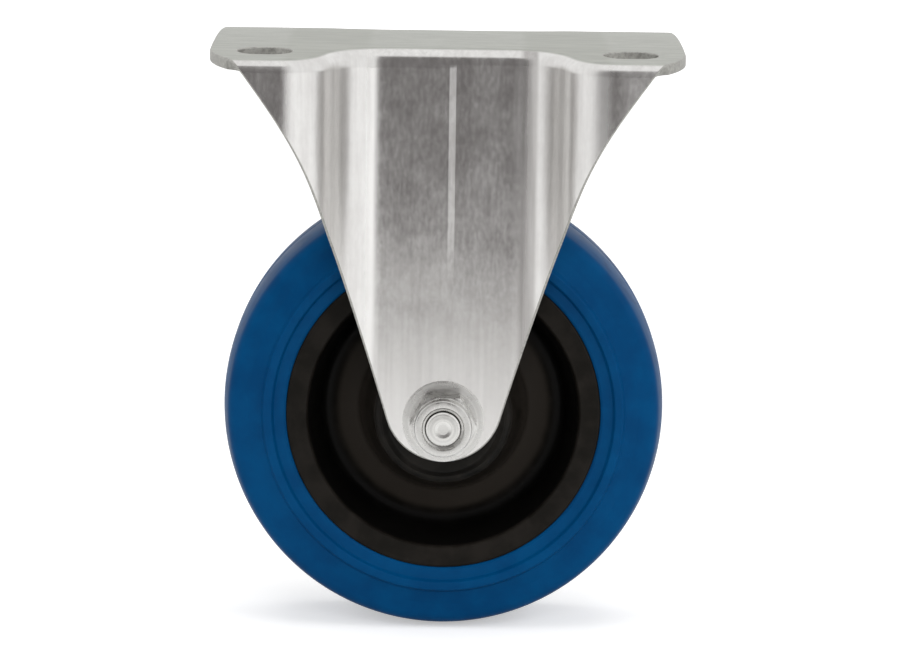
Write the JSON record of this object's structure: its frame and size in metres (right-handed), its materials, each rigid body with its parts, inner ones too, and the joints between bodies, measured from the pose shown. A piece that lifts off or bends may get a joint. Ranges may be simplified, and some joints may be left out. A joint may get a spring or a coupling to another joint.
{
  "type": "fixed castor",
  "caption": "Fixed castor with a pressed steel fork under a slotted top plate, and a blue elastic tyre on a black core that rolls on ball bearings around a bolted axle.",
  "frame": {"origin": "centre of the top plate's mounting face", "axes": "+Z out of the mounting face, up in use; X along the plate's long side, the rolling direction; Y along the axle, the nut on -Y"},
  "size_m": [0.105, 0.085, 0.1338],
  "materials": {
    "plated_sheet": "bright plated sheet with draw streaks",
    "fastener": "bright zinc",
    "turned_steel": "turned",
    "bearing_steel": "ground",
    "ball_steel": "polished",
    "shield_steel": "pressed",
    "tyre": "satin elastic rubber",
    "core_plastic": "satin moulded",
    "cap_plastic": "satin moulded",
    "cage_plastic": "natural moulded",
    "locking_ring": "moulded"
  },
  "bodies": {
    "fork": {"bracket": "plated_sheet", "axle_bolt": "fastener", "lock_nut": "fastener", "nut_insert": "locking_ring", "axle_tube": "turned_steel", "bearing_spacer": "turned_steel", "front_bush": "turned_steel", "front_inner_ring": "bearing_steel", "back_bush": "turned_steel", "back_inner_ring": "bearing_steel"},
    "wheel": {"tyre": "tyre", "wheel_core": "core_plastic", "front_dust_cap": "cap_plastic", "front_outer_ring": "bearing_steel", "front_inner_shield": "shield_steel", "front_outer_shield": "shield_steel", "back_dust_cap": "cap_plastic", "back_outer_ring": "bearing_steel", "back_inner_shield": "shield_steel", "back_outer_shield": "shield_steel"},
    "front_ball_set": {"front_cage": "cage_plastic", "front_balls": "ball_steel"},
    "back_ball_set": {"back_cage": "cage_plastic", "back_balls": "ball_steel"}
  },
  "joints": [
    {"name": "wheel_spin", "type": "hinge", "parent": "fork", "child": "wheel", "pos_m": [0, 0, -0.0838], "axis": [0, 1, 0], "continuous": true},
    {"name": "front_ball_orbit", "type": "hinge", "parent": "fork", "child": "front_ball_set", "pos_m": [0, 0, -0.0838], "axis": [0, 1, 0], "continuous": true},
    {"name": "back_ball_orbit", "type": "hinge", "parent": "fork", "child": "back_ball_set", "pos_m": [0, 0, -0.0838], "axis": [0, 1, 0], "continuous": true}
  ],
  "couplings": [
    {"joint": "front_ball_orbit", "follows": "wheel_spin", "ratio": 0.619},
    {"joint": "back_ball_orbit", "follows": "wheel_spin", "ratio": 0.619}
  ]
}
